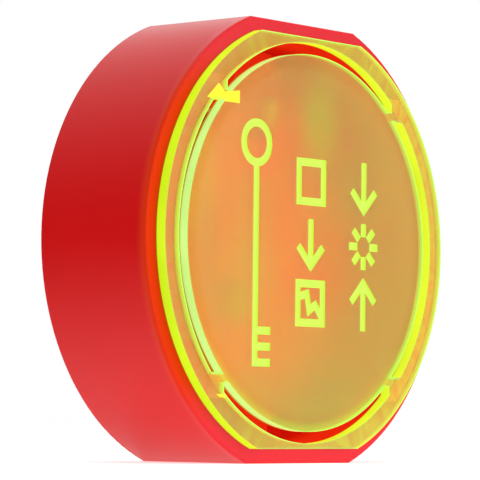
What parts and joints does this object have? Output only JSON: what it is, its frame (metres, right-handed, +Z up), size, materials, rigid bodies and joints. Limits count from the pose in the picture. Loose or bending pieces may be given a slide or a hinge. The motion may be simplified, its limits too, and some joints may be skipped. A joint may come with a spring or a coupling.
{
  "type": "break glass key box",
  "caption": "Round wall key box with two flats: an acrylic pane whose centre disc snaps inwards off narrow bridges to free a key and tag on a hook.",
  "frame": {"origin": "centre of the back face, on the wall", "axes": "+Y into the wall, the pane faces -Y, +X to the right seen from the front, +Z up through the upper flat"},
  "size_m": [0.12, 0.038, 0.1124],
  "materials": {
    "red_plastic": "moulded plastic with a soft sheen",
    "lime_acrylic": "laser-cut fluorescent acrylic sheet, faces clear, edges glowing lime",
    "clear_tape": "clear acrylic foam tape, taking the case's red",
    "hook_steel": "zinc-plated bent rod on a stamped base",
    "screw_steel": "stainless socket screws",
    "brass": "knurled heat-set inserts",
    "red_foam": "closed-cell foam, cut edge",
    "black_foam": "closed-cell sealing cord",
    "key_metal": "milled nickel silver",
    "cap_rubber": "soft moulded cap",
    "tag_plastic": "fine-grained moulding",
    "tag_card": "uncoated blank card, orange-red",
    "clear_plastic": "clear snap-in window"
  },
  "bodies": {
    "case": {"case_shell": "red_plastic", "wall_plate": "red_plastic", "wall_seal": "black_foam", "case_screws": "screw_steel", "case_inserts": "brass", "pane_tapes": "clear_tape", "pane_rim": "lime_acrylic", "key_hook": "hook_steel", "hook_screws": "screw_steel", "hook_inserts": "brass", "rattle_pad": "red_foam"},
    "disc": {"break_disc": "lime_acrylic"},
    "key": {"key": "key_metal", "key_cap": "cap_rubber"},
    "tag": {"tag_body": "tag_plastic", "tag_card": "tag_card", "tag_window": "clear_plastic"}
  },
  "joints": [
    {"name": "disc_push", "type": "slide", "parent": "case", "child": "disc", "axis": [0, 1, 0], "range_m": [0, 0.011]},
    {"name": "key_swing", "type": "hinge", "parent": "case", "child": "key", "pos_m": [0, -0.011, 0.03], "axis": [0, 1, 0], "range_deg": [-65, 65]},
    {"name": "tag_swing", "type": "hinge", "parent": "case", "child": "tag", "pos_m": [0, -0.0158, 0.03], "axis": [0, 1, 0], "range_deg": [-65, 65]}
  ]
}
